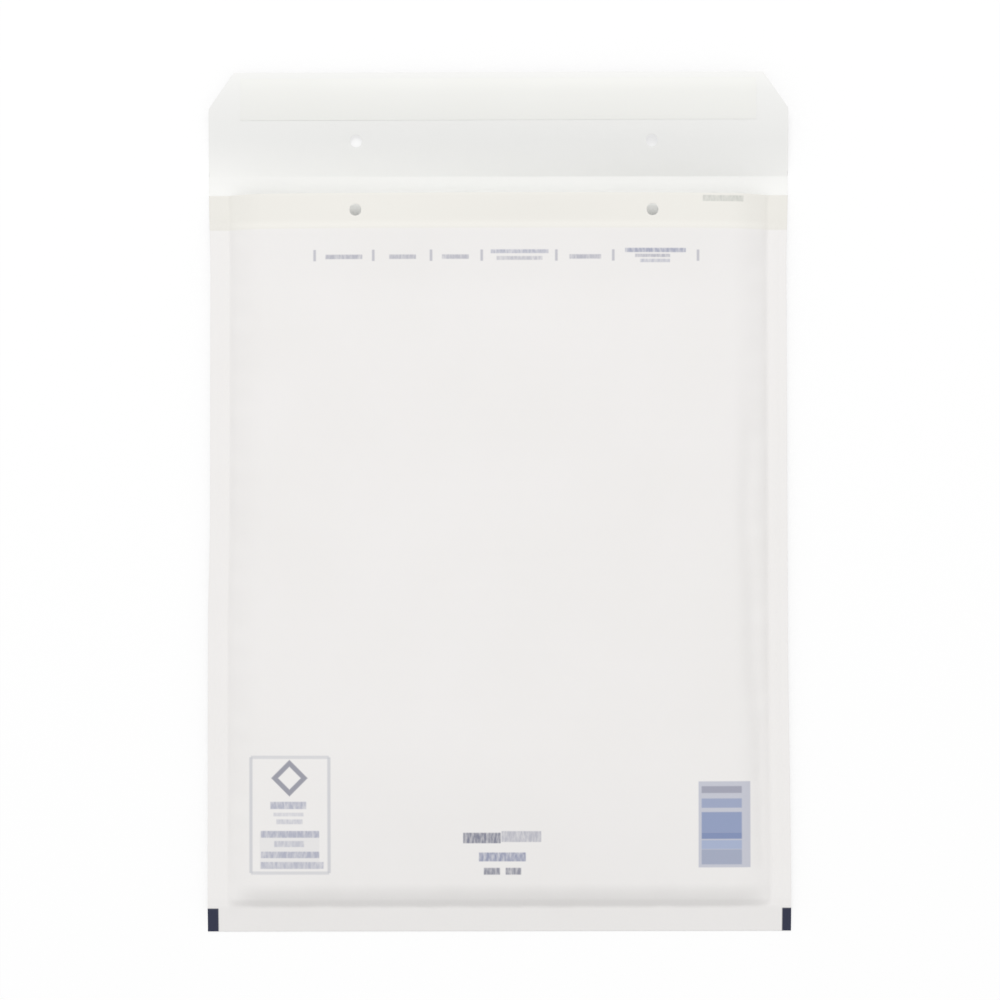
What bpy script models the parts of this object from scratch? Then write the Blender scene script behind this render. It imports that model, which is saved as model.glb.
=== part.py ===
"""A padded envelope lying on its back: one folded web of white paper, lined with bubble film, flap open."""

import math

import bmesh
import bpy
import numpy as np

# Outline of the paper, in metres, measured along the envelope from its bottom fold
WIDTH = 0.290
FRONT_HEIGHT = 0.367
MOUTH_TO_FOLD = 0.0095
FLAP_LENGTH = 0.0522
FLAP_BEVEL_WIDTH = 0.0127
FLAP_BEVEL_LENGTH = 0.0184
PAPER_THICKNESS = 0.00015

# Holes punched through the folded-down flap and the front lip together
HOLE_DIAMETER = 0.006
HOLE_SPACING = 0.148
HOLE_FROM_FOLD = 0.0179
HOLE_OFFSET = 0.0028
HOLE_SIDES = 24
PUNCH_REACH = 0.003

# Flat seams and the lining of bubble film
SIDE_SEAM = 0.010
BOTTOM_MARGIN = 0.0123
LIP_HEIGHT = 0.0176
BUBBLE_FILM = 0.004
FUSED_FILM = 0.0003
FILM_CLEARANCE = 0.0003
FUSE_FADE = 0.004

# Form of the pouch: how it swells from its seams and gapes at its mouth
SIDE_ROUND = 0.018
FOOT_ROUND = 0.012
SEAM_LIFT = 0.0025
POCKET_SET_IN = 0.004
POCKET_START = 0.0005
POCKET_GAP = 0.0055
POCKET_RUN = 0.075
POCKET_SQUARENESS = 4
MOUTH_LIFT = 0.002
MOUTH_LIFT_RUN = 0.050
MOUTH_ARCH = 0.0012

# Form of the open flap: it rises from its crease, sooner and higher to the right, and curls down at its edge
FLAP_RISE = 0.0043
FLAP_CREST = 0.043
FLAP_CURL = 0.022
FLAP_LIFT = 0.7
LIFT_START = -0.120
LIFT_RUN = 0.240

# Strip of glue on the flap and the liner that covers it
STRIP_END_INSET = 0.016
STRIP_FROM_EDGE = 0.003
STRIP_HEIGHT = 0.021
GLUE_EDGE = 0.001
GLUE_THICKNESS = 0.0001
LINER_THICKNESS = 0.00008
STRIP_CLEARANCE = 0.0001

# Steps of the surfaces, as numbers of cells
ROUND_STEPS = 5
PANEL_STEPS = 8
BELLY_STEPS = 11
LIP_STEPS = 4
FOLD_STEPS = 4
FLAP_STEPS = 5
STRIP_STEPS = 5

# Places that follow from the sizes above
HALF_WIDTH = WIDTH / 2
POCKET_HALF = HALF_WIDTH - SIDE_SEAM
LINED_TOP = FRONT_HEIGHT - LIP_HEIGHT
FLAP_FOLD = FRONT_HEIGHT + MOUTH_TO_FOLD
LENGTH = FLAP_FOLD + FLAP_LENGTH
POCKET_BOTTOM = BOTTOM_MARGIN + POCKET_SET_IN
BELLY_START = BOTTOM_MARGIN + FOOT_ROUND
FOLD_RADIUS = FILM_CLEARANCE + PAPER_THICKNESS / 2
FOLD_CENTRE = FOLD_RADIUS + PAPER_THICKNESS / 2
STRIP_TOP = LENGTH - STRIP_FROM_EDGE
STRIP_LOW = STRIP_TOP - STRIP_HEIGHT

WHITE_PAPER = (0.86, 0.85, 0.85, 1.0)
CLEAR_FILM = (0.82, 0.85, 0.88, 1.0)
GLUE = (0.80, 0.79, 0.70, 1.0)
LINER_WHITE = (0.90, 0.90, 0.91, 1.0)


def ease(t):
    """Runs from 0 to 1 with level ends, for t from 0 to 1."""
    t = np.clip(t, 0, 1)
    return t * t * (3 - 2 * t)


def quarter_round(t):
    """Runs from 0 to 1 as the first quarter of a sine, steep at first and level at the end."""
    return np.sin(math.pi / 2 * np.clip(t, 0, 1))


def fullness(x, v):
    """0 on the flat seams and the bottom strip, 1 where the film has its whole thickness."""
    side = quarter_round((POCKET_HALF - np.abs(x)) / SIDE_ROUND)
    foot = quarter_round((v - BOTTOM_MARGIN) / FOOT_ROUND)
    return side * foot


def film_thickness(x, v):
    """Thickness of one layer of bubble film, which the seams crush flat."""
    fused = ease((v - BOTTOM_MARGIN) / FUSE_FADE) * (1 - ease((v - LINED_TOP) / FUSE_FADE))
    return FUSED_FILM * fused + (BUBBLE_FILM - FUSED_FILM) * fullness(x, v)


def arch_across(x):
    """1 in the middle and 0 at the seams, with a flat top."""
    return 1 - np.clip(np.abs(x) / POCKET_HALF, 0, 1) ** POCKET_SQUARENESS


def pocket_gap(x, v):
    """Height of the hollow between the two layers of film."""
    start = POCKET_START * np.clip((v - BOTTOM_MARGIN) / POCKET_SET_IN, 0, 1)
    belly = (POCKET_GAP - POCKET_START) * quarter_round((v - POCKET_BOTTOM) / POCKET_RUN)
    lift = MOUTH_LIFT * ease((v - FRONT_HEIGHT + MOUTH_LIFT_RUN) / MOUTH_LIFT_RUN)
    return arch_across(x) * (start + belly + lift)


def underside(x, v):
    """Height of the back panel's outer face: on the floor, apart from the lifted seams."""
    from_foot = np.clip(v / BOTTOM_MARGIN, 0, 1)
    to_crease = ease((v - LINED_TOP) / (FLAP_FOLD - LINED_TOP))
    return SEAM_LIFT * (1 - fullness(x, v)) * from_foot * (1 - to_crease)


def lining_base(x, v):
    """Height of the lining's lowest face."""
    return underside(x, v) + PAPER_THICKNESS + FILM_CLEARANCE


def lining_height(x, v):
    """Height of the whole lining: two layers of film and the hollow between them."""
    return 2 * film_thickness(x, v) + pocket_gap(x, v)


def front_middle(x, v):
    """Height of the front panel, halfway through the paper."""
    return lining_base(x, v) + lining_height(x, v) + FILM_CLEARANCE + PAPER_THICKNESS / 2


def back_middle(x, v):
    """Height of the back panel, halfway through the paper, with a low arch between lining and flap crease."""
    rise = np.sin(math.pi * np.clip((v - LINED_TOP) / (FLAP_FOLD - LINED_TOP), 0, 1))
    return underside(x, v) + MOUTH_ARCH * rise * arch_across(x) + PAPER_THICKNESS / 2


def flap_middle(x, v):
    """Height of the flap, halfway through the paper."""
    out = v - FLAP_FOLD
    right = ease((x - LIFT_START) / LIFT_RUN)
    rising = (1 - right) * ease(out / FLAP_CREST) + right * quarter_round(out / FLAP_CREST)
    curl = np.cos(math.pi / 2 * np.clip((out - FLAP_CREST) / FLAP_CURL, 0, 1))
    return PAPER_THICKNESS / 2 + FLAP_RISE * (1 + FLAP_LIFT * right) * rising * curl


def across_stations():
    """Places across the envelope, closer together where the sides are round."""
    seam = np.linspace(0, SIDE_SEAM, 2, endpoint=False)
    rounded = SIDE_SEAM + np.linspace(0, SIDE_ROUND, ROUND_STEPS, endpoint=False)
    inner = SIDE_SEAM + SIDE_ROUND
    panel = inner + (HALF_WIDTH - inner) * np.linspace(0, 1, PANEL_STEPS + 1) ** 1.25
    left = np.concatenate([seam, rounded, panel]) - HALF_WIDTH
    return np.concatenate([left, -left[-2::-1]])


def lined_stations():
    """Places along the lined part of the pouch, closer together at its foot and its mouth."""
    foot = np.linspace(BOTTOM_MARGIN, BELLY_START, ROUND_STEPS, endpoint=False)
    swing = (1 - np.cos(math.pi * np.linspace(0, 1, BELLY_STEPS + 1))) / 2
    belly = BELLY_START + (LINED_TOP - BELLY_START) * swing
    return np.union1d(np.concatenate([foot, belly]), [POCKET_BOTTOM])


def panel_stations(top):
    """Places along a panel, from the bottom fold up to the given edge."""
    strip = np.linspace(FOLD_CENTRE, BOTTOM_MARGIN, 2, endpoint=False)
    lip = np.linspace(LINED_TOP, top, LIP_STEPS + 1)[1:]
    return np.concatenate([strip, lined_stations(), lip])


def surface_rows(across, along, height):
    """One row of points for each place along the envelope, at the heights that a function gives."""
    x, v = np.meshgrid(across, along)
    return np.stack([x, v - LENGTH / 2, height(x, v)], axis=-1)


def bottom_fold_rows(across):
    """Rows round the bottom fold, half a turn from the front panel down to the back panel."""
    turn = np.linspace(0, math.pi, FOLD_STEPS + 1)[1:-1]
    x, angle = np.meshgrid(across, turn)
    v = FOLD_CENTRE - FOLD_RADIUS * np.sin(angle)
    middle = (front_middle(x, FOLD_CENTRE) + back_middle(x, FOLD_CENTRE)) / 2
    return np.stack([x, v - LENGTH / 2, middle + FOLD_RADIUS * np.cos(angle)], axis=-1)


def finish(colour, roughness, name):
    """A plain Principled material."""
    material = bpy.data.materials.new(name)
    material.use_nodes = True
    shader = material.node_tree.nodes["Principled BSDF"]
    shader.inputs["Base Color"].default_value = colour
    shader.inputs["Roughness"].default_value = roughness
    shader.inputs["Metallic"].default_value = 0.0
    return material


def add_object(mesh, collection, material):
    """Puts a mesh in the scene as an object of the mesh's name."""
    for polygon in mesh.polygons:
        polygon.use_smooth = True
    mesh.set_sharp_from_angle(angle=math.radians(35))
    mesh.materials.append(material)
    part = bpy.data.objects.new(mesh.name, mesh)
    collection.objects.link(part)
    return part


def sheet_mesh(name, rows):
    """An open sheet through rows of points: a grid whose points are moved to their places."""
    count_along, count_across = rows.shape[:2]
    mesh = bpy.data.meshes.new(name)
    shape = bmesh.new()
    bmesh.ops.create_grid(shape, x_segments=count_across - 1, y_segments=count_along - 1, size=1)
    shape.to_mesh(mesh)
    shape.free()
    mesh.vertices.foreach_set("co", rows.ravel())
    mesh.update()
    return mesh


def thicken(part, thickness):
    """Gives a sheet its thickness, half to each side."""
    solid = part.modifiers.new("thickness", "SOLIDIFY")
    solid.thickness = thickness
    solid.offset = 0
    solid.use_even_offset = True


def cut_with(part, cutter):
    """Takes a cutter's shape out of a part."""
    cut = part.modifiers.new(cutter.name, "BOOLEAN")
    cut.operation = "DIFFERENCE"
    cut.solver = "EXACT"
    cut.object = cutter


def add_cutter(name, shape, place, collection):
    """Puts a cutter's shape in the scene, as an outline that isn't rendered."""
    mesh = bpy.data.meshes.new(name)
    shape.to_mesh(mesh)
    shape.free()
    cutter = bpy.data.objects.new(name, mesh)
    cutter.location = place
    cutter.hide_render = True
    cutter.display_type = "WIRE"
    collection.objects.link(cutter)
    return cutter


def punch_cutter(name, x, v, height, collection):
    """A round punch through the sheet at one hole."""
    shape = bmesh.new()
    radius = HOLE_DIAMETER / 2
    bmesh.ops.create_cone(
        shape, cap_ends=True, segments=HOLE_SIDES, radius1=radius, radius2=radius, depth=2 * PUNCH_REACH
    )
    return add_cutter(name, shape, (x, v - LENGTH / 2, float(height(x, v))), collection)


def bevel_cutter(name, side, collection):
    """A wedge that takes one corner off the flap, on the side given by its sign."""
    reach = 2 * FLAP_RISE + PUNCH_REACH
    shape = bmesh.new()
    bmesh.ops.create_cube(shape, size=2)
    slant = math.atan2(FLAP_BEVEL_WIDTH, FLAP_BEVEL_LENGTH)
    half = math.hypot(FLAP_BEVEL_WIDTH, FLAP_BEVEL_LENGTH)
    bmesh.ops.scale(shape, vec=(half, half, reach), verts=shape.verts)
    bmesh.ops.translate(shape, vec=(side * half, 0, 0), verts=shape.verts)
    place = (side * (HALF_WIDTH - FLAP_BEVEL_WIDTH / 2), (LENGTH - FLAP_BEVEL_LENGTH) / 2, 0)
    cutter = add_cutter(name, shape, place, collection)
    cutter.rotation_euler = (0, 0, side * slant)
    return cutter


def build_paper(parts, cutters):
    """The paper: front panel, bottom fold, back panel and flap in one web, punched and bevelled."""
    across = across_stations()
    front = panel_stations(FRONT_HEIGHT)[::-1]
    back = panel_stations(FLAP_FOLD)
    lower_flap = np.linspace(FLAP_FOLD, STRIP_LOW, FLAP_STEPS + 1)[1:]
    upper_flap = np.linspace(STRIP_LOW, STRIP_TOP, STRIP_STEPS + 1)[1:]
    flap = np.concatenate([lower_flap, upper_flap, [LENGTH]])
    rows = np.concatenate(
        [
            surface_rows(across, front, front_middle),
            bottom_fold_rows(across),
            surface_rows(across, back, back_middle),
            surface_rows(across, flap, flap_middle),
        ]
    )
    material = finish(WHITE_PAPER, 0.75, "white paper")
    paper = add_object(sheet_mesh("paper_envelope", rows), parts, material)
    thicken(paper, PAPER_THICKNESS)
    for side, word in ((-1, "left"), (1, "right")):
        x = HOLE_OFFSET + side * HOLE_SPACING / 2
        cut_with(paper, punch_cutter(f"lip_punch_{word}", x, FLAP_FOLD - HOLE_FROM_FOLD, front_middle, cutters))
        cut_with(paper, punch_cutter(f"flap_punch_{word}", x, FLAP_FOLD + HOLE_FROM_FOLD, flap_middle, cutters))
        cut_with(paper, bevel_cutter(f"flap_bevel_{word}", side, cutters))


def section_ring(across, v, low, high):
    """A closed section of the lining at one place along it: its top from left to right, then its underside."""
    top = np.stack([across, np.full_like(across, v - LENGTH / 2), high], axis=-1)
    under = np.stack([across, np.full_like(across, v - LENGTH / 2), low], axis=-1)
    return np.concatenate([top, under[::-1]])


def loft(shape, rings):
    """Joins closed rings of points with a skin, and returns the rows of vertices."""
    rows = [[shape.verts.new(point) for point in ring] for ring in rings]
    for lower, upper in zip(rows, rows[1:], strict=False):
        for k in range(len(lower)):
            shape.faces.new((lower[k - 1], lower[k], upper[k], upper[k - 1]))
    return rows


def build_lining(parts):
    """The bubble film: one web folded at the bottom, fused at both sides and open at the mouth."""
    across = across_stations()
    outer_rings = [
        section_ring(across, v, lining_base(across, v), lining_base(across, v) + lining_height(across, v))
        for v in lined_stations()
    ]
    inside = across[np.abs(across) < POCKET_HALF - FILM_CLEARANCE]
    inner_rings = []
    for v in lined_stations():
        if v >= POCKET_BOTTOM - FILM_CLEARANCE:
            low = lining_base(inside, v) + film_thickness(inside, v)
            inner_rings.append(section_ring(inside, v, low, low + pocket_gap(inside, v)))
    shape = bmesh.new()
    outer = loft(shape, outer_rings)
    inner = loft(shape, inner_rings)
    shape.faces.new(outer[0])
    shape.faces.new(inner[0])
    mouth_edges = [e for e in shape.edges if e.is_boundary]
    bmesh.ops.triangle_fill(shape, edges=mouth_edges, normal=(0, 1, 0), use_beauty=True)
    bmesh.ops.recalc_face_normals(shape, faces=shape.faces)
    mesh = bpy.data.meshes.new("bubble_lining")
    shape.to_mesh(mesh)
    shape.free()
    add_object(mesh, parts, finish(CLEAR_FILM, 0.25, "bubble film"))


def build_strip(name, edge, base, thickness, parts, material):
    """A strip on the flap's upper face, drawn in by an edge all round and lying at a given height over it."""
    end = HALF_WIDTH - STRIP_END_INSET - edge
    inner = across_stations()
    across = np.union1d(inner[np.abs(inner) < end - FUSE_FADE], [-end, end])
    along = np.linspace(STRIP_LOW + edge, STRIP_TOP - edge, STRIP_STEPS + 1)
    rows = surface_rows(across, along, lambda x, v: flap_middle(x, v) + base + thickness / 2)
    strip = add_object(sheet_mesh(name, rows), parts, material)
    thicken(strip, thickness)


def build_flap_strips(parts):
    """The glue on the flap and the release liner over it."""
    glue_base = PAPER_THICKNESS / 2 + STRIP_CLEARANCE
    liner_base = glue_base + GLUE_THICKNESS + STRIP_CLEARANCE
    build_strip("adhesive_strip", GLUE_EDGE, glue_base, GLUE_THICKNESS, parts, finish(GLUE, 0.4, "glue"))
    build_strip("release_liner", 0, liner_base, LINER_THICKNESS, parts, finish(LINER_WHITE, 0.4, "liner"))


def main():
    """Builds the envelope in an emptied scene."""
    for leftover in list(bpy.data.objects):
        bpy.data.objects.remove(leftover, do_unlink=True)
    parts = bpy.data.collections.new("padded_envelope")
    cutters = bpy.data.collections.new("cutters")
    bpy.context.scene.collection.children.link(parts)
    bpy.context.scene.collection.children.link(cutters)
    build_paper(parts, cutters)
    build_lining(parts)
    build_flap_strips(parts)


main()
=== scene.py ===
"""Dresses the padded envelope: printed paper, bubble film, glue band and peel liner, on a white floor."""

import logging
import math
from collections.abc import Callable
from dataclasses import dataclass
from enum import Enum

import bpy
import numpy as np
from mathutils import Euler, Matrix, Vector


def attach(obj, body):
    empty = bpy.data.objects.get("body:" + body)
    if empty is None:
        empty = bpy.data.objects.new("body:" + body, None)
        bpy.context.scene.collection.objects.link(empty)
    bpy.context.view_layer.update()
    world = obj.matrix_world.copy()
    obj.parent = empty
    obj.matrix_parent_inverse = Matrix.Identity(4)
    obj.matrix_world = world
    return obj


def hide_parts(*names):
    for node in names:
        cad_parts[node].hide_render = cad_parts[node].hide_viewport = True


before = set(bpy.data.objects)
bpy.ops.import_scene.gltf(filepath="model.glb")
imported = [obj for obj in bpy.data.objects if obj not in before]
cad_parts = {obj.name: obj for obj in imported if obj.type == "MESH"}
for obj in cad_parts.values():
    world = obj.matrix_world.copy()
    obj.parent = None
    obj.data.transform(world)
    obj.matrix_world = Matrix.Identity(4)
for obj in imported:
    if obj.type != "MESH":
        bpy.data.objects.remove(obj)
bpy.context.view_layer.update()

LOG = logging.getLogger("padded_envelope")
MM = 0.001
WHITE = (1.0, 1.0, 1.0, 1.0)

Array = np.ndarray
Object = bpy.types.Object
Socket = bpy.types.NodeSocket
Tree = bpy.types.NodeTree
Inputs = dict[str | int, object]
Colour = tuple[float, float, float, float]
HeightOf = Callable[[Array, Array], Array]


def srgb(red: float, green: float, blue: float) -> Colour:
    """Turns a colour as it is seen on a screen into the linear values that a shader takes.

    Args:
        red: Red, 0 to 255.
        green: Green, 0 to 255.
        blue: Blue, 0 to 255.

    Returns:
        The three linear values, 0 to 1, and 1 for a solid colour.
    """
    seen = (red / 255, green / 255, blue / 255)
    return (*(c / 12.92 if c <= 0.04045 else ((c + 0.055) / 1.055) ** 2.4 for c in seen), 1.0)


def ease(t: Array) -> Array:
    """Returns 3t^2 - 2t^3 for t held between 0 and 1: a step with level ends."""
    t = np.clip(t, 0, 1)
    return t * t * (3 - 2 * t)


def quarter_round(t: Array) -> Array:
    """Returns the first quarter of a sine for t held between 0 and 1: steep at first, level at the end."""
    return np.sin(math.pi / 2 * np.clip(t, 0, 1))


def bell(distance: Array, spread: float) -> Array:
    """Returns a bell curve, 1 at no distance and 0.37 at one spread."""
    return np.exp(-((distance / spread) ** 2))


def ripple(place: Array, wavelength: float, phase: Array | float = 0.0) -> Array:
    """Returns a sine of a place, with its wavelength and its phase in radians."""
    return np.sin(2 * math.pi * place / wavelength + phase)


@dataclass(frozen=True)
class PouchForm:
    """The envelope's sizes in metres, and the heights of its faces as functions of x and v.

    x runs across from the middle, and v runs along the envelope from its bottom fold. The fields down to
    lift_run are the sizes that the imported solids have. Those after it shape what the solids leave plain:
    the paper's swells and puckers, the pressed seams, the crease and how the full pouch draws its sides in.
    """

    width: float = 290 * MM
    front_height: float = 367 * MM
    mouth_to_fold: float = 9.5 * MM
    flap_length: float = 52.2 * MM
    bevel_width: float = 12.7 * MM
    bevel_length: float = 18.4 * MM
    paper: float = 0.15 * MM
    hole_diameter: float = 6 * MM
    hole_spacing: float = 148 * MM
    hole_from_fold: float = 17.9 * MM
    hole_offset: float = 2.8 * MM
    side_seam: float = 10 * MM
    bottom_margin: float = 12.3 * MM
    lip_height: float = 17.6 * MM
    bubble_film: float = 4 * MM
    fused_film: float = 0.3 * MM
    clearance: float = 0.3 * MM
    fuse_fade: float = 4 * MM
    side_round: float = 18 * MM
    foot_round: float = 12 * MM
    seam_lift: float = 2.5 * MM
    pocket_set_in: float = 4 * MM
    pocket_start: float = 0.5 * MM
    pocket_gap: float = 5.5 * MM
    pocket_run: float = 75 * MM
    pocket_squareness: float = 4
    mouth_lift: float = 2 * MM
    mouth_lift_run: float = 50 * MM
    mouth_arch: float = 1.2 * MM
    flap_rise: float = 4.3 * MM
    flap_crest: float = 43 * MM
    flap_curl: float = 22 * MM
    flap_lift: float = 0.7
    lift_start: float = -120 * MM
    lift_run: float = 240 * MM

    bubble_pitch: float = 11.5 * MM
    imprint: float = 0.05 * MM
    film_end_reach: float = 2 * MM
    film_end_fade: float = 3 * MM
    skin: float = 0.05 * MM
    swell: float = 0.35 * MM
    swells: tuple = ((1.0, 0.23, 0.31, 0.6), (0.6, 0.13, -0.19, 2.1), (0.7, 0.41, 0.11, 4.0))
    pucker: float = 0.28 * MM
    pucker_inset: float = 4 * MM
    pucker_spread: float = 7 * MM
    pucker_fade: float = 2 * MM
    pucker_lean: float = 60 * MM
    pucker_waves: tuple = (17.1 * MM, 83 * MM, 41 * MM)
    foot_spread: float = 6 * MM
    foot_waves: tuple = (26 * MM, 110 * MM)
    seam_line_depth: float = 0.10 * MM
    seam_line_places: tuple = (3.4 * MM, 8.7 * MM)
    seam_line_spread: float = 0.8 * MM
    seam_press: float = 0.62 * MM
    margin_press: float = 0.30 * MM
    press_fade: float = 4 * MM
    lip_wave: float = 0.45 * MM
    lip_wavelength: float = 170 * MM
    crease_depth: float = 1.25 * MM
    crease_inset: float = 20.2 * MM
    crease_lean: float = 7.4 * MM
    crease_lean_top: float = 215 * MM
    crease_lean_run: float = 200 * MM
    crease_wander: float = 0.6 * MM
    crease_winding: float = 12 * MM
    crease_spread: float = 4.2 * MM
    crease_foot: float = 50 * MM
    crease_fade_start: float = 200 * MM
    crease_fade_run: float = 100 * MM
    deepest: float = 0.3
    draw_right: float = 1.1 * MM
    right_run: float = 150 * MM
    draw_left: float = 1.0 * MM
    left_start: float = 150 * MM
    left_run: float = 60 * MM
    draw_end: float = 45 * MM

    @property
    def half(self) -> float:
        """Half the envelope's width."""
        return self.width / 2

    @property
    def pocket_half(self) -> float:
        """Half the width between the two side seams."""
        return self.half - self.side_seam

    @property
    def lined_top(self) -> float:
        """Where the bubble film ends below the mouth."""
        return self.front_height - self.lip_height

    @property
    def fold(self) -> float:
        """Where the flap's crease is."""
        return self.front_height + self.mouth_to_fold

    @property
    def length(self) -> float:
        """From the bottom fold to the flap's free edge."""
        return self.fold + self.flap_length

    @property
    def web_length(self) -> float:
        """The paper's length laid flat, from the mouth's edge round to the flap's free edge."""
        return self.front_height + self.length

    def fullness(self, x: Array, v: Array) -> Array:
        """Gives 0 on the flat seams and 1 over the padded panel: a quarter round in from each seam."""
        side = quarter_round((self.pocket_half - np.abs(x)) / self.side_round)
        return side * quarter_round((v - self.bottom_margin) / self.foot_round)

    def lined(self, v: Array) -> Array:
        """Gives 1 where there is film between the panels and 0 in the bottom margin and the lip."""
        begun = ease((v - self.bottom_margin) / self.fuse_fade)
        return begun * (1 - ease((v - self.lined_top) / self.fuse_fade))

    def film(self, x: Array, v: Array) -> Array:
        """Gives the thickness of one layer of film: fused in the seams, a bubble high over the panel."""
        return self.fused_film * self.lined(v) + (self.bubble_film - self.fused_film) * self.fullness(x, v)

    def arch_across(self, x: Array) -> Array:
        """Gives 1 in the middle and 0 at the seams, with a flat top."""
        return 1 - np.clip(np.abs(x) / self.pocket_half, 0, 1) ** self.pocket_squareness

    def gap(self, x: Array, v: Array) -> Array:
        """Gives the height of the pouch's hollow: a flat-topped arch across, rising from the bottom."""
        start = self.pocket_start * np.clip((v - self.bottom_margin) / self.pocket_set_in, 0, 1)
        rise = quarter_round((v - self.bottom_margin - self.pocket_set_in) / self.pocket_run)
        lift = self.mouth_lift * ease((v - self.front_height + self.mouth_lift_run) / self.mouth_lift_run)
        return self.arch_across(x) * (start + (self.pocket_gap - self.pocket_start) * rise + lift)

    def underside(self, x: Array, v: Array) -> Array:
        """Gives the height of the outer back face: on the floor, and lifted along the seams."""
        from_foot = np.clip(v / self.bottom_margin, 0, 1)
        to_crease = ease((v - self.lined_top) / (self.fold - self.lined_top))
        return self.seam_lift * (1 - self.fullness(x, v)) * from_foot * (1 - to_crease)

    def lining_base(self, x: Array, v: Array) -> Array:
        """Gives the height of the lining's lowest face, just over the back panel."""
        return self.underside(x, v) + self.paper + self.clearance

    def waves(self, x: Array, v: Array) -> Array:
        """Gives broad soft swells, about 1 high, from shares, wavelengths each way in metres and phases."""
        parts = [
            share * ripple(x / across + v / along, 1.0, phase) for share, across, along, phase in self.swells
        ]
        return sum(parts) / sum(share for share, *_ in self.swells)

    def puckers(self, x: Array, v: Array) -> Array:
        """Gives short wrinkles that run in from the seams, about 1 high: sines inside a bell at the seam."""
        side = bell(self.pocket_half - np.abs(x) - self.pucker_inset, self.pucker_spread)
        lean = np.abs(x) / self.pucker_lean
        short, beat, long = self.pucker_waves
        small = ripple(v, short, lean) * ripple(v, beat, 1.3 + np.sign(x))
        large = ripple(v, long, 2.2 * np.sign(x) + lean)
        foot = bell(v - self.bottom_margin - self.pucker_inset, self.foot_spread)
        short, beat = self.foot_waves
        along = ripple(x, short, 0.7) * ripple(x, beat)
        return side * (0.6 * small + 0.5 * large) + 0.8 * foot * along

    def bubble_marks(self, x: Array, v: Array) -> Array:
        """Gives the bubbles' print-through, -0.5 to 1: three cosines at 60 degrees peak at each bubble."""
        wave = 4 * math.pi / (math.sqrt(3) * self.bubble_pitch)
        total = np.cos(wave * v)
        for turn in (math.pi / 6, -math.pi / 6):
            total = total + np.cos(wave * (x * math.cos(turn) + v * math.sin(turn)))
        return total / 3

    def crease(self, x: Array, v: Array) -> Array:
        """Gives the soft crease beside the right seam, 0 to 1: a bell round a line that leans outwards."""
        lean = self.crease_lean * ease((self.crease_lean_top - v) / self.crease_lean_run)
        line = self.half - self.crease_inset + lean + self.crease_wander * np.sin(v / self.crease_winding)
        faded = ease((v - self.crease_fade_start) / self.crease_fade_run)
        return bell(x - line, self.crease_spread) * ease(v / self.crease_foot) * (1 - faded)

    def seam_lines(self, x: Array, v: Array) -> Array:
        """Gives the two lines pressed along each side seam above the bottom margin, 0 to 1."""
        inward = self.half - np.abs(x)
        lines = sum(bell(inward - place, self.seam_line_spread) for place in self.seam_line_places)
        return lines * (v > self.bottom_margin)

    def pressed(self, x: Array, v: Array) -> Array:
        """Gives how far the seams' heat has brought the layers together, which the solids leave apart."""
        side = quarter_round((self.pocket_half - np.abs(x)) / self.press_fade)
        press = self.margin_press + (self.seam_press - self.margin_press) * self.lined(v)
        return press * (1 - side * quarter_round((v - self.bottom_margin) / self.press_fade))

    def over_film(self, v: Array) -> Array:
        """Gives 1 where the paper lies on film and 0 in the lip."""
        return 1 - ease((v - self.lined_top + self.film_end_reach) / self.film_end_fade)

    def relief(self, x: Array, v: Array) -> Array:
        """Gives how far the front panel departs from its plain form: swells, puckers, prints and crease."""
        full, lined = self.fullness(x, v), self.over_film(v)
        inside = ease((self.pocket_half - np.abs(x)) / self.pucker_fade)
        rise = self.swell * self.waves(x, v) * full + self.imprint * self.bubble_marks(x, v) * full * lined
        rise = rise + self.pucker * self.puckers(x, v) * inside * lined
        rise = rise - self.crease_depth * self.crease(x, v) - self.seam_line_depth * self.seam_lines(x, v)
        return np.maximum(rise, -self.deepest * (2 * self.film(x, v) + self.gap(x, v)))

    def front(self, x: Array, v: Array) -> Array:
        """Gives the middle of the front panel's paper, with a slight wave in its free edge."""
        plain = self.lining_base(x, v) + 2 * self.film(x, v) + self.gap(x, v)
        edge = ease((v - self.lined_top) / self.lip_height) * self.fullness(x, v)
        wave = self.lip_wave * ripple(x, self.lip_wavelength, 0.9) * edge
        return plain + self.clearance + self.paper / 2 + self.relief(x, v) + wave - self.pressed(x, v)

    def back(self, x: Array, v: Array) -> Array:
        """Gives the middle of the back panel's paper: bubble marks, and a low arch before the crease."""
        lined = self.fullness(x, v) * self.over_film(v)
        mark = self.imprint * (1 - self.bubble_marks(x, v)) * 0.5 * lined
        rise = np.sin(math.pi * np.clip((v - self.lined_top) / (self.fold - self.lined_top), 0, 1))
        return self.underside(x, v) + mark + self.mouth_arch * rise * self.arch_across(x) + self.paper / 2

    def flap(self, x: Array, v: Array) -> Array:
        """Gives the middle of the flap's paper: up from the crease, more to the right, curled at its edge."""
        out = v - self.fold
        right = ease((x - self.lift_start) / self.lift_run)
        rising = (1 - right) * ease(out / self.flap_crest) + right * quarter_round(out / self.flap_crest)
        curl = np.cos(math.pi / 2 * np.clip((out - self.flap_crest) / self.flap_curl, 0, 1))
        return self.paper / 2 + self.flap_rise * (1 + self.flap_lift * right) * rising * curl

    def waist(self, x: Array, v: Array) -> Array:
        """Gives how far the full pouch draws its sides in, which are flat at the fold and at the crease."""
        right = self.draw_right * ease((v - self.bottom_margin) / self.right_run)
        left = self.draw_left * ease((v - self.left_start) / self.left_run)
        high = ease((self.fold - v) / self.draw_end)
        return np.where(x > 0, right, -left) * high * (x / self.half) ** 2

    def at(self, x: Array, v: Array, z: Array) -> Array:
        """Stacks x, v and z into points in the frame, where y is 0 halfway along the envelope."""
        return np.stack([x - self.waist(x, v), v - self.length / 2, z], axis=-1)


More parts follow.
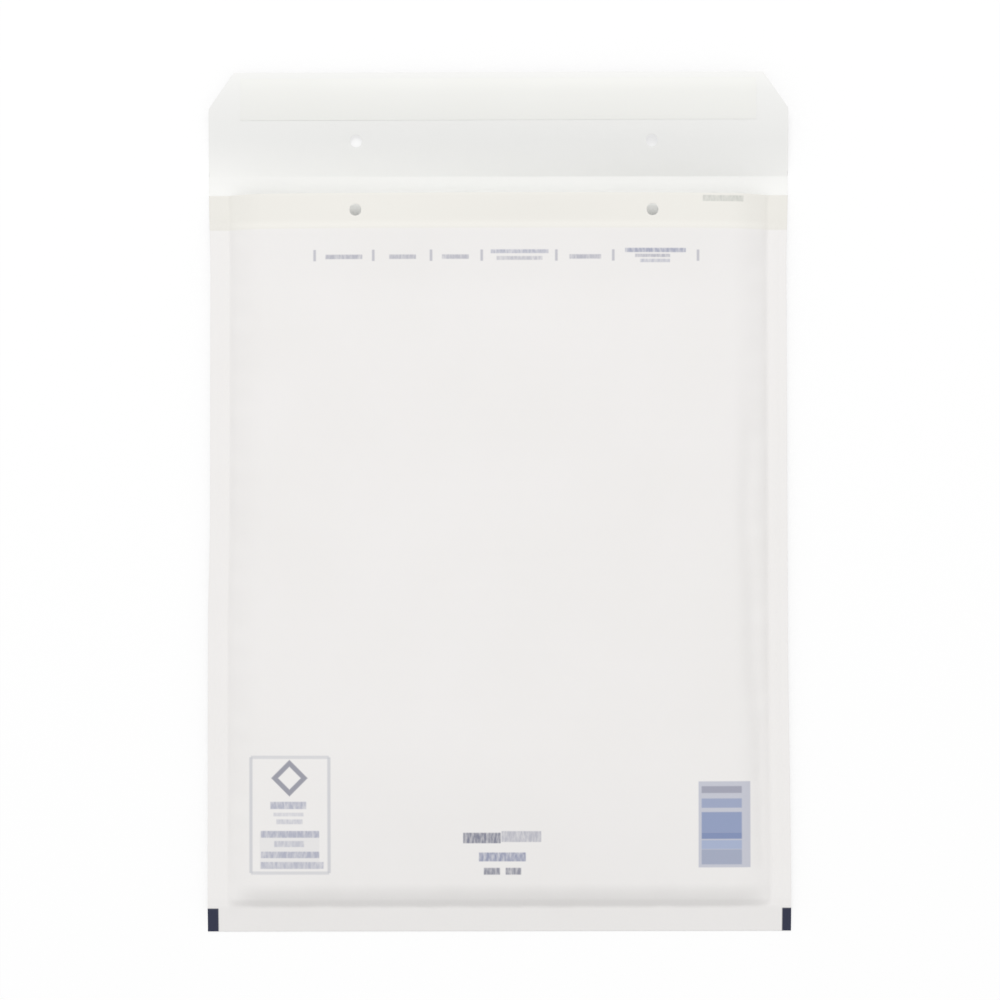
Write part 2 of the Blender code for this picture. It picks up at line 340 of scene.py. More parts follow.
def spans(*stops: tuple[float, float]) -> Array:
    """Spreads stations between stops.

    Args:
        *stops: Pairs of a place and the spacing wanted up to it, in rising order. The first pair's
            spacing isn't used.

    Returns:
        The stations, with every stop among them.
    """
    parts = [np.array([stops[0][0]])]
    for (low, _), (high, step) in zip(stops, stops[1:], strict=False):
        count = max(1, round((high - low) / step))
        parts.append(np.linspace(low, high, count + 1)[1:])
    return np.concatenate(parts)


def grid_faces(rows: int, columns: int) -> Array:
    """Lists the quads of a grid of rows by columns of vertices, as four indices each."""
    corner = np.arange(rows * columns).reshape(rows, columns)
    quads = np.stack([corner[:-1, :-1], corner[:-1, 1:], corner[1:, 1:], corner[1:, :-1]], axis=-1)
    return quads.reshape(-1, 4)


def mesh_object(
    name: str, points: Array, faces: Array, uv: Array | None = None
) -> Object:
    """Makes a smooth mesh object at the origin.

    Args:
        name: The piece's name.
        points: One row of x, y and z for each vertex.
        faces: One row of vertex indices for each face.
        uv: One row of u and v for each vertex, if the piece has a pattern that follows its surface.

    Returns:
        The object, in the scene.
    """
    mesh = bpy.data.meshes.new(name)
    mesh.from_pydata(points.reshape(-1, 3).tolist(), [], faces.tolist())
    if uv is not None:
        layer = mesh.uv_layers.new(name="web")
        corner = np.empty(len(mesh.loops), np.int32)
        mesh.loops.foreach_get("vertex_index", corner)
        layer.data.foreach_set("uv", uv[corner].astype(np.float32).ravel())
    mesh.polygons.foreach_set("use_smooth", np.ones(len(mesh.polygons), bool))
    mesh.update()
    piece = bpy.data.objects.new(name, mesh)
    bpy.context.scene.collection.objects.link(piece)
    return piece


def thicken(piece: Object, thickness: float, inside_slot: int = 0) -> None:
    """Gives a sheet its thickness, half to each side.

    Args:
        piece: The sheet's object.
        thickness: The whole thickness in metres.
        inside_slot: How many material slots further on the inner face and the rim take their material.
    """
    solid = piece.modifiers.new("thickness", "SOLIDIFY")
    solid.thickness = thickness
    solid.offset = 0
    solid.use_even_offset = True
    solid.material_offset = inside_slot
    solid.material_offset_rim = inside_slot
    even = piece.modifiers.new("even shading", "WEIGHTED_NORMAL")
    even.keep_sharp = False


def place(piece: Object, nodes: tuple[str, ...], slot: str) -> None:
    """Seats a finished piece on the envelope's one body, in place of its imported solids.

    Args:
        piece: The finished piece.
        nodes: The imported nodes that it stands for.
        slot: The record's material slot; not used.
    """
    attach(piece, "root")
    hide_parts(*nodes)
    LOG.info("%s: %d vertices before its modifiers", piece.name, len(piece.data.vertices))


class Shader:
    """A short way to write a node tree: most methods add a node and return the socket it puts out."""

    def __init__(self, tree: Tree) -> None:
        """Keeps the tree that the nodes go to."""
        self.tree = tree

    def feed(self, socket: Socket, value: object) -> None:
        """Links a socket to another, or sets its value."""
        if isinstance(value, Socket):
            self.tree.links.new(value, socket)
        else:
            socket.default_value = value

    def fill(self, node: bpy.types.Node, inputs: Inputs) -> None:
        """Feeds a node's inputs, which go by name or by number."""
        for key, value in inputs.items():
            self.feed(node.inputs[key], value)

    def node(self, kind: str, inputs: Inputs | None = None, **settings: object) -> bpy.types.Node:
        """Adds a node of a kind, sets its properties and feeds its inputs."""
        made = self.tree.nodes.new(kind)
        for key, value in settings.items():
            setattr(made, key, value)
        self.fill(made, inputs or {})
        return made

    def maths(self, operation: str, *values: object, clamp: bool = False) -> Socket:
        """Adds a Math node and feeds its inputs in order."""
        made = self.node("ShaderNodeMath", dict(enumerate(values)), operation=operation, use_clamp=clamp)
        return made.outputs[0]

    def mix(self, share: object, first: object, second: object) -> Socket:
        """Mixes two colours by a share."""
        return self.node("ShaderNodeMix", {0: share, 6: first, 7: second}, data_type="RGBA").outputs[2]

    def noise(self, vector: object, scale: object, detail: float = 2.0) -> Socket:
        """Adds a Noise texture and returns its value."""
        inputs = {"Vector": vector, "Scale": scale, "Detail": detail}
        return self.node("ShaderNodeTexNoise", inputs).outputs["Fac"]

    def stretch(self, vector: object, scale: tuple[float, float, float]) -> Socket:
        """Scales a place by a number for each axis."""
        return self.node("ShaderNodeMapping", {"Vector": vector, "Scale": scale}).outputs[0]

    def split(self, vector: object) -> bpy.types.NodeOutputs:
        """Splits a place into its X, Y and Z."""
        return self.node("ShaderNodeSeparateXYZ", {0: vector}).outputs

    def distances(self, vector: object, centre: object) -> list[Socket]:
        """Gives how far a place is from a centre, across and along."""
        away = self.node("ShaderNodeVectorMath", {0: vector, 1: centre}, operation="SUBTRACT")
        parts = self.split(away.outputs[0])
        return [self.maths("ABSOLUTE", parts[axis]) for axis in "XY"]

    def soft_step(self, inside: object, width: object, start: float = 0.5) -> Socket:
        """Turns a distance inside an edge into a share, 0 to 1: start on the edge, rising over a width."""
        return self.maths("ADD", self.maths("DIVIDE", inside, width), start, clamp=True)

    def bumped(self, height: object, strength: float, distance: float) -> Socket:
        """Turns a height into a normal."""
        inputs = {"Strength": strength, "Distance": distance, "Height": height}
        return self.node("ShaderNodeBump", inputs).outputs[0]

    def group(self, tree: Tree, **values: object) -> bpy.types.NodeOutputs:
        """Adds a node group and feeds its inputs by name, an underscore standing for a space."""
        inputs = {key.replace("_", " "): value for key, value in values.items()}
        return self.node("ShaderNodeGroup", inputs, node_tree=tree).outputs


def new_group(name: str, inputs: dict[str, str], outputs: dict[str, str]) -> tuple[Shader, dict, dict]:
    """Starts a shader node group.

    Args:
        name: The group's name.
        inputs: Input names and their socket kinds, such as Float or Vector.
        outputs: Output names and their socket kinds.

    Returns:
        The group's shader writer, its input sockets by name and its output sockets by name.
    """
    tree = bpy.data.node_groups.new(name, "ShaderNodeTree")
    for words, way in ((inputs, "INPUT"), (outputs, "OUTPUT")):
        for label, kind in words.items():
            tree.interface.new_socket(name=label, in_out=way, socket_type=f"NodeSocket{kind}")
    start = tree.nodes.new("NodeGroupInput")
    end = tree.nodes.new("NodeGroupOutput")
    return Shader(tree), {k: start.outputs[k] for k in inputs}, {k: end.inputs[k] for k in outputs}


def fibre_group(lengthen: float = 0.25, streak_scale: float = 1400.0, cloud_scale: float = 22.0) -> Tree:
    """Builds the paper's surface: fine fibres for the bump and slow clouds for colour and roughness.

    Args:
        lengthen: The share by which the long fibres' pattern is scaled across.
        streak_scale: The long fibres' scale for each metre.
        cloud_scale: The clouds' scale for each metre.

    Returns:
        A group that takes Vector and Fibre Size, and puts out Height and Cloud.
    """
    shader, given, out = new_group(
        "paper fibres", {"Vector": "Vector", "Fibre Size": "Float"}, {"Height": "Float", "Cloud": "Float"}
    )
    fine = shader.noise(given["Vector"], shader.maths("DIVIDE", 1.0, given["Fibre Size"]), 5.0)
    streak = shader.noise(shader.stretch(given["Vector"], (lengthen, 1.0, 1.0)), streak_scale, 3.0)
    shader.feed(out["Height"], shader.maths("ADD", fine, shader.maths("MULTIPLY", streak, 0.5)))
    shader.feed(out["Cloud"], shader.noise(given["Vector"], cloud_scale, 3.0))
    return shader.tree


def bar_group() -> Tree:
    """Builds a printed bar: 1 inside a rectangle and 0 outside, with a soft inked edge.

    Returns:
        A group that takes Vector, Centre, Half Width, Half Height and Edge, and puts out Mask.
    """
    halves = ("Half Width", "Half Height")
    kinds = {"Vector": "Vector", "Centre": "Vector", **dict.fromkeys(halves, "Float"), "Edge": "Float"}
    shader, given, out = new_group("printed bar", kinds, {"Mask": "Float"})
    away = shader.distances(given["Vector"], given["Centre"])
    insides = [shader.maths("SUBTRACT", given[half], off) for half, off in zip(halves, away, strict=True)]
    sides = [shader.soft_step(inside, given["Edge"]) for inside in insides]
    shader.feed(out["Mask"], shader.maths("MULTIPLY", *sides))
    return shader.tree


def diamond_group() -> Tree:
    """Builds a printed diamond: 1 on the outline of a square that stands on its corner, 0 elsewhere.

    Returns:
        A group that takes Vector, Centre, Radius, Line and Edge, and puts out Mask.
    """
    kinds = {"Vector": "Vector", "Centre": "Vector", "Radius": "Float", "Line": "Float", "Edge": "Float"}
    shader, given, out = new_group("printed diamond", kinds, {"Mask": "Float"})
    across, up = shader.distances(given["Vector"], given["Centre"])
    away = shader.maths("MULTIPLY", shader.maths("ADD", across, up), math.sqrt(0.5))
    off = shader.maths("ABSOLUTE", shader.maths("SUBTRACT", away, given["Radius"]))
    inside = shader.maths("SUBTRACT", shader.maths("MULTIPLY", given["Line"], 0.5), off)
    shader.feed(out["Mask"], shader.soft_step(inside, given["Edge"]))
    return shader.tree


class Ink(Enum):
    """The printing inks, as seen on a screen."""

    GREY_BLUE = srgb(146, 151, 176)
    PALE_BLUE = srgb(146, 158, 190)
    DEEP_BLUE = srgb(130, 144, 181)
    LIGHT_BLUE = srgb(167, 178, 205)
    HAZE_BLUE = srgb(162, 169, 190)
    FIELD_LILAC = srgb(183, 186, 201)
    VIOLET_GREY = srgb(162, 163, 178)
    SLATE = srgb(122, 124, 142)
    LIGHT_GREY = srgb(200, 201, 206)
    GREEN_GREY = srgb(164, 170, 164)
    NAVY = srgb(40, 44, 66)


class Shape(Enum):
    """The plain shapes that the print is made of."""

    BAR = "bar"
    LINE = "line"
    DIAMOND = "diamond"


@dataclass(frozen=True)
class Mark:
    """One printed shape, in millimetres across from the middle and up from the bottom fold."""

    x: float
    v: float
    width: float
    height: float
    ink: Ink
    cover: float = 1.0
    shape: Shape = Shape.BAR


@dataclass(frozen=True)
class Zone:
    """A part of the front panel that has a printed material of its own, in the marks' millimetres."""

    name: str
    left: float
    right: float
    low: float
    high: float
    marks: tuple[Mark, ...]


def line(left: float, right: float, v: float, height: float, ink: Ink, cover: float) -> Mark:
    """Gives a printed line from its left to its right end, broken into words and strokes."""
    return Mark((left + right) / 2, v, right - left, height, ink, cover, Shape.LINE)


@dataclass(frozen=True)
class Print:
    """The generic print on the front panel: size row, symbol box, title lines, code block and cut marks."""

    tick_places: tuple = (-91.4, -62.2, -33.5, -8.3, 28.8, 57.1, 99.3)
    rule_width: float = 1.6
    code_middle: float = 110.2
    code_width: float = 20.0

    def size_row(self) -> Zone:
        """Lays out the ticks and the lines between them, near the top of the panel."""
        ticks = tuple(Mark(x, 335.8, 1.3, 5.6, Ink.VIOLET_GREY, 0.62) for x in self.tick_places)
        ink = Ink.VIOLET_GREY
        lines = (
            line(-86.0, -67.7, 335.1, 2.2, ink, 0.75),
            line(-54.3, -41.0, 335.1, 2.2, ink, 0.70),
            line(-28.1, -14.7, 335.1, 2.2, ink, 0.70),
            line(-3.8, 24.9, 337.7, 1.9, Ink.GREY_BLUE, 0.65),
            line(-0.9, 21.9, 334.4, 1.9, ink, 0.60),
            line(35.3, 51.1, 335.1, 2.2, ink, 0.75),
            line(63.0, 93.2, 338.3, 2.1, Ink.GREY_BLUE, 0.80),
            line(67.9, 85.3, 335.6, 1.6, ink, 0.75),
            line(70.4, 85.3, 333.1, 1.7, Ink.GREY_BLUE, 0.55),
        )
        return Zone("size row", -97, 104, 329, 343, ticks + lines)

    def symbol_box(self) -> Zone:
        """Lays out the outlined box at the lower left, with a plain diamond and lines under it."""
        left, right, low, high = -123.1, -84.3, 29.4, 86.7
        middle, ink, rule = -103.9, Ink.GREY_BLUE, self.rule_width
        frame_marks = (
            *(Mark(x, (low + high) / 2, rule, high - low, Ink.LIGHT_GREY, 0.75) for x in (left, right)),
            *(Mark((left + right) / 2, v, right - left, rule, Ink.LIGHT_GREY, 0.60) for v in (low, high)),
        )
        icon = (
            Mark(middle, 76.4, 10.4, 10.4, Ink.SLATE, 0.8, Shape.DIAMOND),
            line(-113.4, -95.6, 62.9, 3.6, ink, 0.70),
            line(-111.9, -96.9, 58.4, 1.8, ink, 0.35),
            line(-110.4, -97.4, 54.8, 2.4, ink, 0.45),
        )
        lines = (
            Mark(middle, 40.6, 29.6, 18.8, Ink.LIGHT_GREY, 0.20),
            line(-118.1, -89.2, 48.6, 3.4, ink, 0.70),
            line(-111.5, -96.7, 43.8, 3.0, ink, 0.48),
            line(-118.1, -89.2, 38.4, 3.2, ink, 0.70),
            line(-118.3, -87.0, 33.2, 3.4, ink, 0.60),
        )
        return Zone("symbol box", -127, -79, 24, 92, frame_marks + icon + lines)

    def title_lines(self) -> Zone:
        """Lays out the three centred lines at the bottom of the panel."""
        marks = (
            line(-17.9, 0.7, 46.7, 5.2, Ink.SLATE, 0.95),
            line(1.0, 20.7, 47.4, 5.4, Ink.VIOLET_GREY, 0.72),
            line(-10.1, 13.1, 37.3, 4.4, Ink.GREY_BLUE, 0.95),
            line(-7.7, 0.3, 30.2, 3.4, Ink.SLATE, 0.85),
            line(3.1, 10.8, 30.2, 3.4, Ink.SLATE, 0.85),
        )
        return Zone("title lines", -22, 27, 25, 54, marks)

    def code_block(self) -> Zone:
        """Lays out the striped block at the lower right: a pale field crossed by bars of deeper blue."""
        bands = (
            (70.4, 3.4, Ink.VIOLET_GREY, 1.0),
            (63.7, 4.6, Ink.PALE_BLUE, 0.80),
            (54.2, 10.2, Ink.PALE_BLUE, 1.0),
            (47.6, 3.2, Ink.DEEP_BLUE, 1.0),
            (43.2, 4.4, Ink.LIGHT_BLUE, 1.0),
            (37.1, 7.4, Ink.HAZE_BLUE, 0.95),
        )
        field = Mark(111.6, 53.2, 25.8, 42.6, Ink.FIELD_LILAC, 0.78)
        x, width = self.code_middle, self.code_width
        bars = (Mark(x, v, width, height, ink, cover) for v, height, ink, cover in bands)
        return Zone("code block", 94, 130, 27, 81, (field, *bars))

    def lip_line(self) -> Zone:
        """Lays out the small line at the right of the lip."""
        return Zone("lip line", 98, 126, 359, 367.5, (line(101.8, 122.2, 364.4, 3.0, Ink.GREEN_GREY, 0.45),))

    def cut_marks(self) -> Zone:
        """Lays out the dark marks at the two bottom corners, where the web is cut to length."""
        marks = tuple(Mark(x, 5.2, 6.6, 12.6, Ink.NAVY, 1.0) for x in (-142.9, 143.8))
        return Zone("bottom strip", -150, 150, -1, 17, marks)

    def zones(self) -> tuple[Zone, ...]:
        """Gives the parts of the panel that carry print."""
        return (
            self.size_row(),
            self.symbol_box(),
            self.title_lines(),
            self.code_block(),
            self.lip_line(),
            self.cut_marks(),
        )


def new_material(name: str) -> tuple[bpy.types.Material, Shader, bpy.types.Node]:
    """Starts a material.

    Args:
        name: The material's name.

    Returns:
        The material, its shader writer and its Principled surface.
    """
    material = bpy.data.materials.new(name)
    material.use_nodes = True
    return material, Shader(material.node_tree), material.node_tree.nodes["Principled BSDF"]


@dataclass(frozen=True)
class Effects:
    """The node groups that the materials share."""

    fibres: Tree
    bar: Tree
    diamond: Tree


@dataclass(frozen=True)
class PaperFinish:
    """White machine-finished paper: its colour, its fibres and its slow clouds.

    The edges, fades and strokes of its tones and print are in millimetres on the web.
    """

    name: str
    colour: Colour = srgb(240, 238, 237)
    shade: Colour = srgb(237, 235, 233)
    lip: Colour = srgb(237, 235, 229)
    lip_seam: Colour = srgb(231, 229, 223)
    # The inner face's colour on the flap, when given: painted shade, darker than the rest, for the flap
    # rising from the crease.
    flap: Colour | None = None
    roughness: float = 0.62
    rough_span: float = 0.10
    specular: float = 0.35
    fibre_size: float = 0.35 * MM
    bump: float = 0.12
    bump_height: float = 0.1 * MM
    lip_edge: float = 0.8
    seam_edge: float = 3.0
    seam_start: float = 0.7
    flap_shade_fade: float = 18.0
    ink_edge: float = 0.6
    diamond_line: float = 2.4
    stroke_scale: tuple = (0.75, 0.22, 1.0)
    stroke_contrast: float = 3.2
    stroke_cut: float = -1.0
    faintest: float = 0.5

    def build(
        self, effects: Effects, form: PouchForm | None = None, zone: Zone | None = None
    ) -> bpy.types.Material:
        """Makes the material.

        Args:
            effects: The shared node groups.
            form: The envelope's sizes, if its colour changes along the web of paper.
            zone: The part of the panel whose print it carries, if it has one.

        Returns:
            The material.
        """
        material, shader, surface = new_material(self.name)
        spot = shader.node("ShaderNodeTexCoord").outputs["Object"]
        fibres = shader.group(effects.fibres, Vector=spot, Fibre_Size=self.fibre_size)
        colour = shader.mix(fibres["Cloud"], self.colour, self.shade)
        if form is not None:
            web = self.web_place(shader, form)
            # The inner face takes painted shade on its flap, where the outer faces take the lip's tone.
            tone = self.lip_tone if self.flap is None else self.flap_painted_shade
            colour = tone(shader, colour, web, form)
            if zone is not None:
                colour = self.printed(shader, colour, web, zone, effects)
        smoothest = self.roughness - self.rough_span / 2
        shader.fill(surface, {
            "Base Color": colour,
            "Roughness": shader.maths("MULTIPLY_ADD", fibres["Cloud"], self.rough_span, smoothest),
            "Normal": shader.bumped(fibres["Height"], self.bump, self.bump_height),
            "Specular IOR Level": self.specular,
        })
        return material

    def web_place(self, shader: Shader, form: PouchForm) -> Socket:
        """Reads the web's UV map back to millimetres across and up the front panel."""
        web = shader.node("ShaderNodeUVMap", uv_map="web").outputs[0]
        scale = (form.width / MM, -form.web_length / MM, 0.0)
        inputs = {0: web, 1: scale, 2: (-form.half / MM, form.front_height / MM, 0.0)}
        return shader.node("ShaderNodeVectorMath", inputs, operation="MULTIPLY_ADD").outputs[0]

    def lip_tone(self, shader: Shader, colour: object, web: object, form: PouchForm) -> Socket:
        """Warms the unlined lip a little, above the line where the film ends, and more in its seams."""
        parts = shader.split(web)
        above = shader.maths("SUBTRACT", parts["Y"], form.lined_top / MM)
        beyond = shader.maths("SUBTRACT", shader.maths("ABSOLUTE", parts["X"]), form.pocket_half / MM)
        lip = shader.soft_step(above, self.lip_edge)
        seam = shader.soft_step(beyond, self.seam_edge, self.seam_start)
        return shader.mix(lip, colour, shader.mix(seam, self.lip, self.lip_seam))

    def flap_painted_shade(self, shader: Shader, colour: object, web: object, form: PouchForm) -> Socket:
        """Paints shade on the flap's inner face, fading in over a width beyond the crease: up from the
        mouth's edge the web's place falls.
        """
        beyond = shader.maths("SUBTRACT", -form.fold / MM, shader.split(web)["Y"])
        return shader.mix(shader.maths("DIVIDE", beyond, self.flap_shade_fade, clamp=True), colour, self.flap)

    def printed(
        self, shader: Shader, colour: object, web: object, zone: Zone, effects: Effects
    ) -> Socket:
        """Prints a zone's marks over the paper's colour, one after the other.

        Args:
            shader: The material's shader writer.
            colour: The paper's own colour.
            web: The place on the front panel in millimetres.
            zone: The zone whose marks are printed.
            effects: The shared node groups.

        Returns:
            The printed colour.
        """
        strokes = shader.noise(shader.stretch(web, self.stroke_scale), 1.0)
        strokes = shader.maths("MULTIPLY_ADD", strokes, self.stroke_contrast, self.stroke_cut, clamp=True)
        strokes = shader.maths("MULTIPLY_ADD", strokes, 1.0 - self.faintest, self.faintest)
        for mark in zone.marks:
            values = {"Vector": web, "Centre": (mark.x, mark.v, 0.0), "Edge": self.ink_edge}
            if mark.shape is Shape.DIAMOND:
                mask = shader.group(effects.diamond, Radius=mark.width / 2, Line=self.diamond_line, **values)
            else:
                sizes = {"Half_Width": mark.width / 2, "Half_Height": mark.height / 2}
                mask = shader.group(effects.bar, **sizes, **values)
            share = shader.maths("MULTIPLY", mask["Mask"], mark.cover)
            if mark.shape is Shape.LINE:
                share = shader.maths("MULTIPLY", share, strokes)
            colour = shader.mix(share, colour, mark.ink.value)
        return colour


@dataclass(frozen=True)
class FilmFinish:
    """Thin clear plastic: a gloss sheet that light passes through."""

    name: str
    colour: Colour
    roughness: float
    alpha: float
    flow_scale: float = 60.0
    flow_shade: float = 0.94
    rough_span: float = 0.12
    dimple_scale: float = 350.0
    bump: float = 0.15
    bump_height: float = 0.2 * MM

    def build(self) -> bpy.types.Material:
        """Makes the material, with faint flow lines in its gloss."""
        material, shader, surface = new_material(self.name)
        spot = shader.node("ShaderNodeTexCoord").outputs["Object"]
        flow = shader.noise(spot, self.flow_scale, 3.0)
        shade = (*(self.flow_shade * c for c in self.colour[:3]), 1.0)
        shader.fill(surface, {
            "Base Color": shader.mix(flow, self.colour, shade),
            "Roughness": shader.maths("MULTIPLY_ADD", flow, self.rough_span, self.roughness),
            "Normal": shader.bumped(shader.noise(spot, self.dimple_scale), self.bump, self.bump_height),
            "Alpha": self.alpha,
        })
        return material


@dataclass
class PaperWeb:
    """The folded web of paper: front panel, bottom fold, back panel and flap."""

    form: PouchForm
    effects: Effects
    edge_step: float = 0.75 * MM
    round_step: float = 1.0 * MM
    panel_step: float = 2.7 * MM
    hole_step: float = 1.2 * MM
    back_step: float = 6.5 * MM
    flap_step: float = 2 * MM
    seam_band: float = 12 * MM
    round_band: float = 32 * MM
    foot_band: float = 12 * MM
    lead_in: float = 3 * MM
    bevel_squeeze: float = 20 * MM
    hole_cells: int = 2
    warp_cells: int = 5
    fold_rows: int = 6

    @property
    def hole_reach(self) -> float:
        """Half the side of the square round a hole whose grid is drawn onto a circle."""
        return self.warp_cells * self.hole_step

    @property
    def fold_centre(self) -> float:
        """How far up from its outermost line the bottom fold's centre is."""
        return self.form.clearance + self.form.paper

    def columns(self) -> Array:
        """Gives the stations across: close at the seams and at the holes."""
        form = self.form
        left, right = (
            side * spans(
                (0.0, 0.0),
                (form.hole_spacing / 2 + side * form.hole_offset - self.hole_reach, self.panel_step),
                (form.hole_spacing / 2 + side * form.hole_offset + self.hole_reach, self.hole_step),
                (form.half - self.round_band, self.panel_step),
                (form.half - self.seam_band, self.round_step),
                (form.half, self.edge_step),
            )
            for side in (-1, 1)
        )
        return np.concatenate([left[:0:-1], right])

    def front_rows(self) -> Array:
        """Gives the stations up the front panel, from just over the fold to the mouth's edge."""
        form, reach = self.form, self.hole_reach
        hole = form.fold - form.hole_from_fold
        return spans(
            (self.fold_centre, 0.0),
            (form.bottom_margin, self.hole_step),
            (form.bottom_margin + self.foot_band, self.edge_step),
            (hole - reach - self.lead_in, self.panel_step),
            (hole - reach, self.round_step),
            (hole + reach, self.hole_step),
            (form.front_height, self.hole_step),
        )

    def back_rows(self) -> Array:
        """Gives the stations up the back panel, which the floor hides."""
        form = self.form
        return spans(
            (self.fold_centre, 0.0),
            (form.bottom_margin, 3 * MM),
            (form.bottom_margin + self.foot_band, 1.5 * MM),
            (form.lined_top, self.back_step),
            (form.fold, 2.5 * MM),
        )

    def flap_rows(self) -> Array:
        """Gives the stations up the flap, close at its crease and its holes."""
        form, reach = self.form, self.hole_reach
        hole = form.fold + form.hole_from_fold
        return spans(
            (form.fold, 0.0),
            (form.fold + self.lead_in, 0.6 * MM),
            (hole - reach, self.flap_step),
            (hole + reach, self.hole_step),
            (form.length, self.flap_step),
        )[1:]

    def warp(self, x: Array, v: Array, hole_v: float) -> tuple[Array, Array]:
        """Draws the grid round each hole of a row onto a circle.

        Inside a square of a few cells round a hole, a point moves from the grid's own square towards the
        same direction on the circle, all the way at the inner square and not at all at the outer one.

        Args:
            x: The grid's places across.
            v: The grid's places along.
            hole_v: Where the two holes are along.

        Returns:
            The moved x and v.
        """
        form, inner, outer = self.form, self.hole_cells * self.hole_step, self.hole_reach
        for side in (-1, 1):
            dx, dv = x - form.hole_offset - side * form.hole_spacing / 2, v - hole_v
            square = np.maximum(np.abs(dx), np.abs(dv))
            share = np.clip((outer - square) / (outer - inner), 0, 1)
            radius = np.maximum(np.hypot(dx, dv), 1e-9)
            circle = form.hole_diameter / 2 * np.maximum(square / inner, 1)
            x = x + share * (circle * dx / radius - dx)
            v = v + share * (circle * dv / radius - dv)
        return x, v

    def punched(self, x: Array, v: Array, hole_v: float) -> Array:
        """Finds the grid's cells that the holes take away, from the plain places of their corners."""
        middle_x = (x[:-1, :-1] + x[1:, 1:]) / 2
        middle_v = (v[:-1, :-1] + v[1:, 1:]) / 2
        reach = self.hole_cells * self.hole_step
        away = np.abs(np.abs(middle_x - self.form.hole_offset) - self.form.hole_spacing / 2)
        return (away < reach) & (np.abs(middle_v - hole_v) < reach)

    def bevelled(self, x: Array, v: Array) -> Array:
        """Draws the flap's sides in to its bevelled corners, and leaves the rest of the web as it is."""
        form = self.form
        kept = form.half - self.bevel_squeeze
        past = np.clip((v - form.length + form.bevel_length) / form.bevel_length, 0, 1)
        edge = form.half - form.bevel_width * past
        outer = kept + (np.abs(x) - kept) * (edge - kept) / (form.half - kept)
        return np.where(np.abs(x) > kept, np.sign(x) * outer, x)

    def panel(
        self, across: Array, along: Array, height: HeightOf, hole_v: float | None = None
    ) -> tuple[Array, Array]:
        """Builds the points of one stretch of the web.

        Args:
            across: The stations across.
            along: The stations along, in the web's order.
            height: Gives the height of the paper's middle at x and v.
            hole_v: Where the stretch's two holes are along, if it has any.

        Returns:
            The grid of points, and for each of its cells whether it is paper.
        """
        x, v = np.meshgrid(across, along)
        paper = np.ones((len(along) - 1, len(across) - 1), bool)
        if hole_v is not None:
            paper = ~self.punched(x, v, hole_v)
            x, v = self.warp(x, v, hole_v)
        x = self.bevelled(x, v)
        return self.form.at(x, v, height(x, v)), paper

    def bottom_fold(self, across: Array) -> Array:
        """Builds the rows of points between the panels, half a turn round the fold's centre."""
        form, start = self.form, self.fold_centre
        x, angle = np.meshgrid(across, np.linspace(0, math.pi, self.fold_rows + 1)[1:-1])
        high, low = (height(x, np.full_like(x, start)) for height in (form.front, form.back))
        v = start - (start - form.paper / 2) * np.sin(angle)
        return form.at(x, v, high + (low - high) * (1 - np.cos(angle)) / 2)

    def build(self) -> None:
        """Builds the web as one grid: from the mouth's edge down, round the fold and up to the flap."""
        form, across = self.form, self.columns()
        front, front_paper = self.panel(
            across, self.front_rows()[::-1], form.front, form.fold - form.hole_from_fold
        )
        fold = self.bottom_fold(across)
        back, _ = self.panel(across, self.back_rows(), form.back)
        flap, flap_paper = self.panel(across, self.flap_rows(), form.flap, form.fold + form.hole_from_fold)
        points = np.concatenate([front, fold, back, flap])
        paper = np.ones((len(points) - 1, len(across) - 1), bool)
        paper[: len(front_paper)] = front_paper
        paper[-len(flap_paper) :] = flap_paper
        way = np.repeat([-1, 0, 1], [len(front), len(fold), len(back) + len(flap)])[:, None]
        along = form.front_height + way * (points[..., 1] + form.length / 2)
        uv = np.stack([points[..., 0] / form.width + 0.5, along / form.web_length], axis=-1)
        faces = grid_faces(*points.shape[:2])[paper.ravel()][:, ::-1]
        used, faces = np.unique(faces, return_inverse=True)
        faces, uv = faces.reshape(-1, 4), uv.reshape(-1, 2)[used]
        piece = mesh_object("paper_web", points.reshape(-1, 3)[used], faces, uv)
        self.dress(piece, uv, faces)
        place(piece, ("paper_envelope",), "white_paper")

    def dress(self, piece: Object, uv: Array, faces: Array) -> None:
        """Gives the web its papers: plain outside, a printed one for each zone, and inside a whiter one,
        partly painted light, with painted shade on the flap.

        The inner skin and the rim take the last material, because the offset runs past the list's end.

        Args:
            piece: The web.
            uv: Its vertices' places on the flat web.
            faces: Its faces' vertices.
        """
        form, zones = self.form, Print().zones()
        middle = uv[faces].mean(axis=1)
        x = (middle[:, 0] - 0.5) * form.width / MM
        v = (form.front_height - middle[:, 1] * form.web_length) / MM
        index = np.zeros(len(faces), np.int32)
        piece.data.materials.append(PaperFinish("white paper").build(self.effects, form))
        for number, zone in enumerate(zones, start=1):
            finish = PaperFinish(f"printed paper, {zone.name}")
            piece.data.materials.append(finish.build(self.effects, form, zone))
            index[(x > zone.left) & (x < zone.right) & (v > zone.low) & (v < zone.high)] = number
        # The inner face is whiter than the outer. This is partly the inner paper's own less pinkish tone, and
        # partly painted light that lifts the strip between the mouth and the crease, and the view through the
        # lip holes, which the mouth shades. Its darker flap colour is painted shade for the flap's rise from
        # the crease.
        inside = PaperFinish(
            "white paper inside", srgb(245, 245, 243), srgb(243, 243, 240), flap=srgb(239, 239, 237)
        )
        piece.data.materials.append(inside.build(self.effects, form))
        piece.data.polygons.foreach_set("material_index", index)
        thicken(piece, form.paper, inside_slot=len(zones) + 1)


